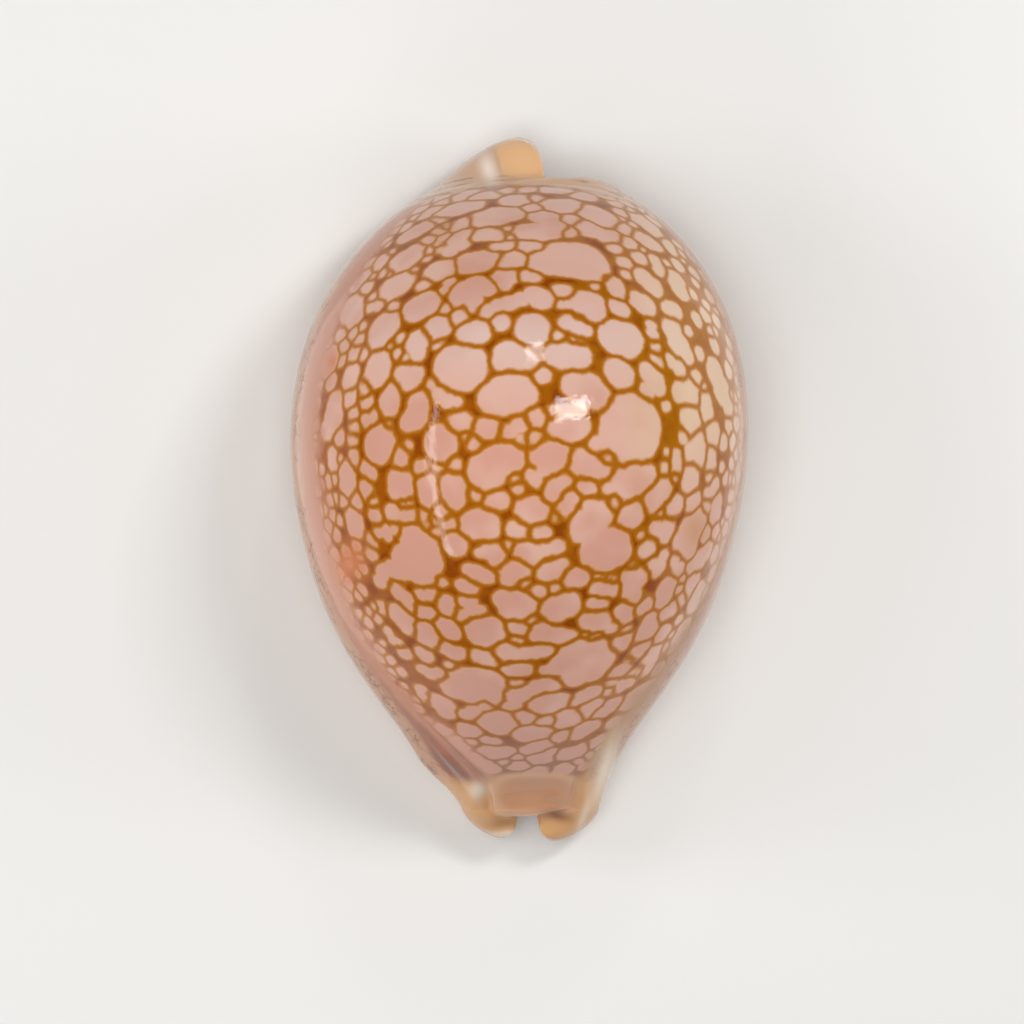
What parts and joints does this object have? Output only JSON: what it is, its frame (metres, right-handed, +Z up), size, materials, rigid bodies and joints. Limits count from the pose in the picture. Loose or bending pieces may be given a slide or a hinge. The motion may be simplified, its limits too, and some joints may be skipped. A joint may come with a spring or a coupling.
{
  "type": "cowrie shell",
  "caption": "Large glossy pear-shaped cowrie shell, lying on its toothed base, with a thick rounded back, a narrow curved slit between its lips and a spouted notch at each end.",
  "frame": {"origin": "centre of the bounding box's footprint, at the height of the flat spot on the base that the shell rests on", "axes": "+Y along the shell to its blunt spire end, -Y to its narrow front end, +Z up through the back, +X to the side of the inner lip and -X to the side of the outer lip"},
  "size_m": [0.0546, 0.0843, 0.0449],
  "materials": {
    "shell": "porcelain gloss"
  },
  "bodies": {
    "root": {"shell": "shell"}
  },
  "joints": []
}
